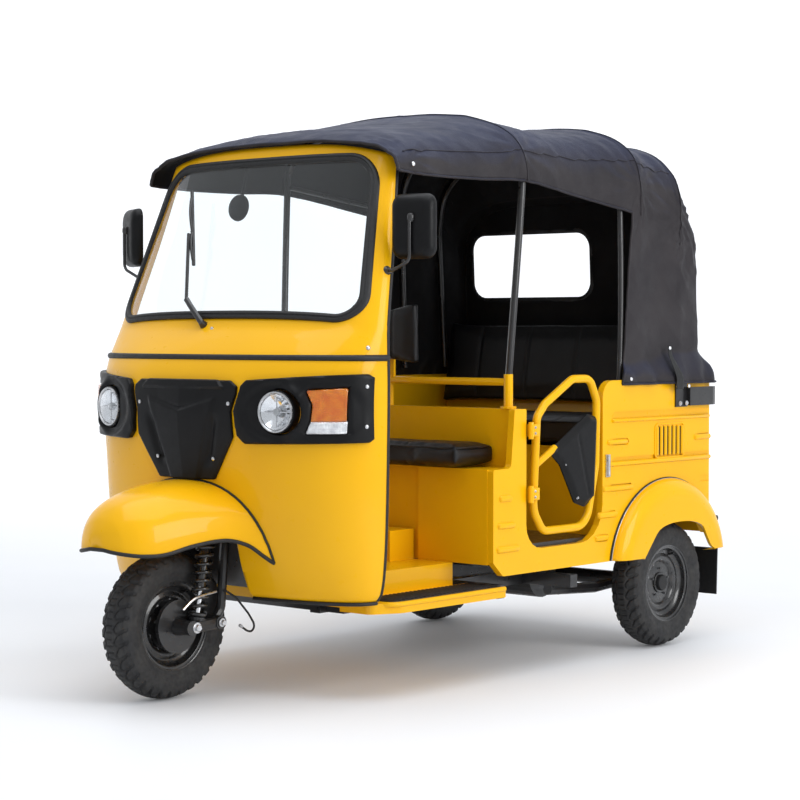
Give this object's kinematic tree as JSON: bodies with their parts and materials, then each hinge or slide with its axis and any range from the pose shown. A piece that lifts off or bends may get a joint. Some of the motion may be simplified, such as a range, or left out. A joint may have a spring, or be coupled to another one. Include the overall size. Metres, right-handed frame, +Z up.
{
  "type": "electric passenger tricycle",
  "caption": "Three-wheeled electric passenger vehicle with a pressed-steel cowl and body, canvas canopy, bench seats, tube door and leading-link front fork.",
  "frame": {"origin": "on the ground under the middle of the vehicle's outline", "axes": "+Z up, -Y forward, +X the vehicle's left"},
  "size_m": [1.4636, 2.6345, 1.947],
  "materials": {
    "yellow_paint": "gloss golden-yellow enamel",
    "black_paint": "semi-gloss black paint",
    "wheel_steel": "gloss black painted steel",
    "black_plastic": "fine-grained satin black plastic",
    "rubber": "matt black rubber",
    "tyre": "matt black tyre rubber",
    "windshield_glass": "clear laminated glass",
    "lamp_glass": "clear lens over a bright reflector",
    "indicator_lens": "amber lens with a clear foot",
    "tail_lens": "red lens",
    "seat_vinyl": "black upholstery vinyl",
    "bright_steel": "zinc-plated steel",
    "canvas": "black coated canvas"
  },
  "bodies": {
    "root": {"battery_pack": "black_plastic", "canopy": "canvas", "canopy_frame": "black_paint", "chassis_frame": "black_paint", "cowl": "yellow_paint", "door_latch": "bright_steel", "driver_backrest": "seat_vinyl", "driver_seat": "seat_vinyl", "driver_seat_box": "yellow_paint", "front_fender": "yellow_paint", "front_floor": "yellow_paint", "headlamp_left": "lamp_glass", "headlamp_right": "lamp_glass", "indicator_left": "indicator_lens", "indicator_right": "indicator_lens", "lamp_bezel_left": "black_plastic", "lamp_bezel_right": "black_plastic", "mirror_left": "black_plastic", "mirror_right": "black_plastic", "mud_flap_left": "rubber", "mud_flap_right": "rubber", "nose_grille": "black_plastic", "partition_rail": "yellow_paint", "passenger_backrest": "seat_vinyl", "passenger_seat": "seat_vinyl", "passenger_seat_box": "yellow_paint", "rear_axle": "black_paint", "rear_bar": "black_paint", "rear_fender_left": "yellow_paint", "rear_fender_right": "yellow_paint", "rear_floor": "black_paint", "rear_panel": "yellow_paint", "side_panel_left": "yellow_paint", "side_panel_right": "yellow_paint", "tail_lamp_left": "tail_lens", "tail_lamp_right": "tail_lens", "wheel_well": "black_paint", "windshield": "windshield_glass", "windshield_gasket": "rubber", "wiper": "black_plastic"},
    "steering": {"steering_fork": "black_paint", "handlebar": "black_plastic", "fork_link": "black_paint", "front_spring": "black_paint", "brake_cable": "rubber"},
    "front_wheel": {"rim_front": "wheel_steel", "tyre_front": "tyre"},
    "rear_wheel_left": {"rim_rear_left": "wheel_steel", "tyre_rear_left": "tyre"},
    "rear_wheel_right": {"rim_rear_right": "wheel_steel", "tyre_rear_right": "tyre"},
    "door_left": {"door_frame": "yellow_paint", "door_plate": "black_plastic"}
  },
  "joints": [
    {"name": "steering_turn", "type": "hinge", "parent": "root", "child": "steering", "pos_m": [0, -0.805, 0.5], "axis": [0, 0.342, 0.9397], "range_deg": [-38, 38]},
    {"name": "front_wheel_spin", "type": "hinge", "parent": "steering", "child": "front_wheel", "pos_m": [0, -1.01, 0.236], "axis": [1, 0, 0], "continuous": true},
    {"name": "rear_wheel_left_spin", "type": "hinge", "parent": "root", "child": "rear_wheel_left", "pos_m": [0.54, 0.99, 0.236], "axis": [1, 0, 0], "continuous": true},
    {"name": "rear_wheel_right_spin", "type": "hinge", "parent": "root", "child": "rear_wheel_right", "pos_m": [-0.54, 0.99, 0.236], "axis": [1, 0, 0], "continuous": true},
    {"name": "door_left_swing", "type": "hinge", "parent": "root", "child": "door_left", "pos_m": [0.616, 0.116, 0.73], "axis": [0, 0, 1], "range_deg": [-95, 0]}
  ]
}
